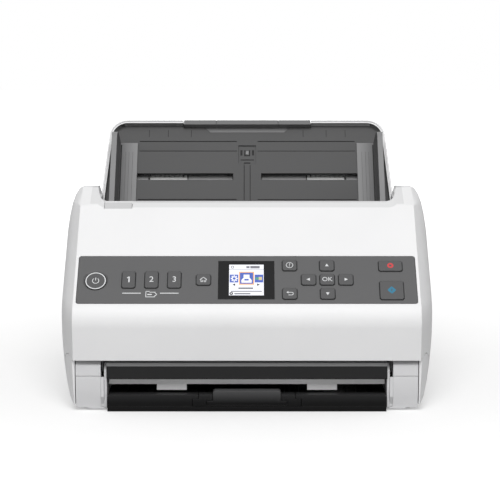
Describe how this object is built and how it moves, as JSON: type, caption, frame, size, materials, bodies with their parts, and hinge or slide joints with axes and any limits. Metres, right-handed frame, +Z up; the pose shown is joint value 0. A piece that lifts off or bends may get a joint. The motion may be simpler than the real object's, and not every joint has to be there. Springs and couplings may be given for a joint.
{
  "type": "document scanner",
  "caption": "Desktop sheet fed document scanner with a sloping input tray, flared body, control panel on a front cover that swings open, and a telescoping output tray.",
  "frame": {"origin": "middle of the footprint, on the table", "axes": "+X to the right seen from the front, +Y towards the back, +Z up; the front faces -Y"},
  "size_m": [0.296, 0.2004, 0.2181],
  "materials": {
    "white_shell": "fine matt texture",
    "black_frame": "matt black",
    "tray_grey": "matt dark grey",
    "guide_grey": "satin mid grey",
    "panel_grey": "satin grey",
    "window_black": "gloss black",
    "button_dark": "satin, light print",
    "button_white": "satin white ring",
    "lever_grey": "satin light grey",
    "strip_grey": "satin grey",
    "roller_rubber": "matt rubber",
    "shaft_nylon": "moulded acetal",
    "steel": "pressed steel",
    "sensor_black": "matt black",
    "scan_glass": "clear glass",
    "board_green": "solder mask",
    "foot_rubber": "matt rubber"
  },
  "bodies": {
    "base": {"base_pan": "white_shell", "feet": "foot_rubber", "left_side_cover": "white_shell", "right_side_cover": "white_shell", "rear_cover": "white_shell", "screws": "steel", "frame_plates": "steel", "lower_paper_guide": "black_frame", "lower_sensor": "sensor_black", "lower_glass": "scan_glass", "exit_bar": "black_frame", "exit_strip": "strip_grey", "drive_motor": "steel", "main_board": "board_green", "dc_inlet": "sensor_black", "usb_port": "steel", "input_tray": "tray_grey", "tray_frame": "white_shell"},
    "cover": {"front_cover": "white_shell", "cover_frame": "black_frame", "hinge_arms": "steel", "upper_sensor": "sensor_black", "upper_glass": "scan_glass", "control_panel": "panel_grey", "display_window": "window_black"},
    "lever": {"cover_lever": "lever_grey"},
    "pickup_roller": {"pickup_shaft": "shaft_nylon", "pickup_tyres": "roller_rubber"},
    "feed_roller": {"feed_shaft": "shaft_nylon", "feed_tyres": "roller_rubber"},
    "eject_roller": {"eject_shaft": "shaft_nylon", "eject_tyres": "roller_rubber"},
    "separation": {"separation_roller": "roller_rubber"},
    "feed_idler_rollers": {"feed_idlers": "shaft_nylon"},
    "eject_idler_rollers": {"eject_idlers": "shaft_nylon"},
    "eject_idler_wheel": {"eject_idler_gear": "shaft_nylon"},
    "pickup_idler_wheel": {"pickup_idler_gear": "shaft_nylon"},
    "motor_wheel": {"motor_pinion": "shaft_nylon"},
    "left_guide": {"left_edge_guide": "guide_grey"},
    "right_guide": {"right_edge_guide": "guide_grey"},
    "guide_wheel": {"guide_pinion": "shaft_nylon"},
    "support_outer": {"support_extension_outer": "guide_grey"},
    "support_inner": {"support_extension_inner": "guide_grey"},
    "out_tray": {"output_tray": "black_frame"},
    "out_extension": {"output_extension": "black_frame"},
    "out_stop": {"output_end_stop": "black_frame"},
    "key_power": {"button_power": "button_white"},
    "key_one": {"button_one": "button_dark"},
    "key_two": {"button_two": "button_dark"},
    "key_three": {"button_three": "button_dark"},
    "key_home": {"button_home": "button_dark"},
    "key_help": {"button_help": "button_dark"},
    "key_back": {"button_back": "button_dark"},
    "key_up": {"button_up": "button_dark"},
    "key_left": {"button_left": "button_dark"},
    "key_ok": {"button_ok": "button_dark"},
    "key_right": {"button_right": "button_dark"},
    "key_down": {"button_down": "button_dark"},
    "key_stop": {"button_stop": "button_dark"},
    "key_start": {"button_start": "button_dark"}
  },
  "joints": [
    {"name": "cover_hinge", "type": "hinge", "parent": "base", "child": "cover", "pos_m": [0, -0.08624, 0.033], "axis": [1, 0, 0], "range_deg": [0, 65]},
    {"name": "lever_pull", "type": "hinge", "parent": "cover", "child": "lever", "pos_m": [0, -0.03624, 0.1318], "axis": [-1, 0, 0], "range_deg": [0, 12], "stiffness_Nm_per_rad": 0.4, "springref_deg": -6.88},
    {"name": "feed_spin", "type": "hinge", "parent": "base", "child": "feed_roller", "pos_m": [0, -0.01701, 0.05692], "axis": [1, 0, 0], "continuous": true},
    {"name": "eject_idler_spin", "type": "hinge", "parent": "base", "child": "eject_idler_wheel", "pos_m": [0.1215, -0.04687, 0.0368], "axis": [1, 0, 0], "continuous": true},
    {"name": "eject_spin", "type": "hinge", "parent": "base", "child": "eject_roller", "pos_m": [0, -0.07368, 0.02715], "axis": [1, 0, 0], "continuous": true},
    {"name": "pickup_idler_spin", "type": "hinge", "parent": "base", "child": "pickup_idler_wheel", "pos_m": [0.1215, 0.00688, 0.0695], "axis": [1, 0, 0], "continuous": true},
    {"name": "pickup_spin", "type": "hinge", "parent": "base", "child": "pickup_roller", "pos_m": [0, 0.01433, 0.08806], "axis": [1, 0, 0], "continuous": true},
    {"name": "motor_spin", "type": "hinge", "parent": "base", "child": "motor_wheel", "pos_m": [0.1185, 0.00564, 0.04047], "axis": [1, 0, 0], "continuous": true},
    {"name": "separation_spin", "type": "hinge", "parent": "cover", "child": "separation", "pos_m": [0, -0.00558, 0.102], "axis": [1, 0, 0], "continuous": true},
    {"name": "feed_idler_spin", "type": "hinge", "parent": "cover", "child": "feed_idler_rollers", "pos_m": [0, -0.02676, 0.06739], "axis": [1, 0, 0], "continuous": true},
    {"name": "exit_idler_spin", "type": "hinge", "parent": "base", "child": "eject_idler_rollers", "pos_m": [0, -0.07738, 0.03547], "axis": [1, 0, 0], "continuous": true},
    {"name": "left_guide_slide", "type": "slide", "parent": "base", "child": "left_guide", "axis": [1, 0, 0], "range_m": [0, 0.082]},
    {"name": "right_guide_slide", "type": "slide", "parent": "base", "child": "right_guide", "axis": [-1, 0, 0], "range_m": [0, 0.082]},
    {"name": "guide_pinion_spin", "type": "hinge", "parent": "base", "child": "guide_wheel", "pos_m": [0, 0.06005, 0.168], "axis": [0, -0.8192, 0.5736], "range_deg": [-784, 1]},
    {"name": "support_outer_slide", "type": "slide", "parent": "base", "child": "support_outer", "axis": [0, 0.5736, 0.8192], "range_m": [0, 0.062]},
    {"name": "support_inner_slide", "type": "slide", "parent": "support_outer", "child": "support_inner", "axis": [0, 0.5736, 0.8192], "range_m": [0, 0.06]},
    {"name": "output_tray_slide", "type": "slide", "parent": "base", "child": "out_tray", "axis": [0, -1, 0], "range_m": [0, 0.09]},
    {"name": "output_extension_slide", "type": "slide", "parent": "out_tray", "child": "out_extension", "axis": [0, -1, 0], "range_m": [0, 0.09]},
    {"name": "output_stop_slide", "type": "slide", "parent": "out_extension", "child": "out_stop", "axis": [0, -1, 0], "range_m": [0, 0.06]},
    {"name": "power_press", "type": "slide", "parent": "cover", "child": "key_power", "axis": [0, 0.7193, -0.6947], "range_m": [0, 0.0008], "stiffness_N_per_m": 900, "springref_m": -0.0005},
    {"name": "one_press", "type": "slide", "parent": "cover", "child": "key_one", "axis": [0, 0.7193, -0.6947], "range_m": [0, 0.0008], "stiffness_N_per_m": 900, "springref_m": -0.0005},
    {"name": "two_press", "type": "slide", "parent": "cover", "child": "key_two", "axis": [0, 0.7193, -0.6947], "range_m": [0, 0.0008], "stiffness_N_per_m": 900, "springref_m": -0.0005},
    {"name": "three_press", "type": "slide", "parent": "cover", "child": "key_three", "axis": [0, 0.7193, -0.6947], "range_m": [0, 0.0008], "stiffness_N_per_m": 900, "springref_m": -0.0005},
    {"name": "home_press", "type": "slide", "parent": "cover", "child": "key_home", "axis": [0, 0.7193, -0.6947], "range_m": [0, 0.0008], "stiffness_N_per_m": 900, "springref_m": -0.0005},
    {"name": "help_press", "type": "slide", "parent": "cover", "child": "key_help", "axis": [0, 0.7193, -0.6947], "range_m": [0, 0.0008], "stiffness_N_per_m": 900, "springref_m": -0.0005},
    {"name": "back_press", "type": "slide", "parent": "cover", "child": "key_back", "axis": [0, 0.7193, -0.6947], "range_m": [0, 0.0008], "stiffness_N_per_m": 900, "springref_m": -0.0005},
    {"name": "up_press", "type": "slide", "parent": "cover", "child": "key_up", "axis": [0, 0.7193, -0.6947], "range_m": [0, 0.0008], "stiffness_N_per_m": 900, "springref_m": -0.0005},
    {"name": "left_press", "type": "slide", "parent": "cover", "child": "key_left", "axis": [0, 0.7193, -0.6947], "range_m": [0, 0.0008], "stiffness_N_per_m": 900, "springref_m": -0.0005},
    {"name": "ok_press", "type": "slide", "parent": "cover", "child": "key_ok", "axis": [0, 0.7193, -0.6947], "range_m": [0, 0.0008], "stiffness_N_per_m": 900, "springref_m": -0.0005},
    {"name": "right_press", "type": "slide", "parent": "cover", "child": "key_right", "axis": [0, 0.7193, -0.6947], "range_m": [0, 0.0008], "stiffness_N_per_m": 900, "springref_m": -0.0005},
    {"name": "down_press", "type": "slide", "parent": "cover", "child": "key_down", "axis": [0, 0.7193, -0.6947], "range_m": [0, 0.0008], "stiffness_N_per_m": 900, "springref_m": -0.0005},
    {"name": "stop_press", "type": "slide", "parent": "cover", "child": "key_stop", "axis": [0, 0.7193, -0.6947], "range_m": [0, 0.0008], "stiffness_N_per_m": 900, "springref_m": -0.0005},
    {"name": "start_press", "type": "slide", "parent": "cover", "child": "key_start", "axis": [0, 0.7193, -0.6947], "range_m": [0, 0.0008], "stiffness_N_per_m": 900, "springref_m": -0.0005}
  ],
  "couplings": [
    {"joint": "eject_idler_spin", "follows": "feed_spin", "ratio": -1.4},
    {"joint": "eject_spin", "follows": "feed_spin", "ratio": 1.5556},
    {"joint": "pickup_idler_spin", "follows": "feed_spin", "ratio": -3.5},
    {"joint": "pickup_spin", "follows": "feed_spin", "ratio": 1.5},
    {"joint": "motor_spin", "follows": "feed_spin", "ratio": -3},
    {"joint": "right_guide_slide", "follows": "left_guide_slide", "ratio": 1},
    {"joint": "guide_pinion_spin", "follows": "left_guide_slide", "rad_per_m": -166.67}
  ]
}
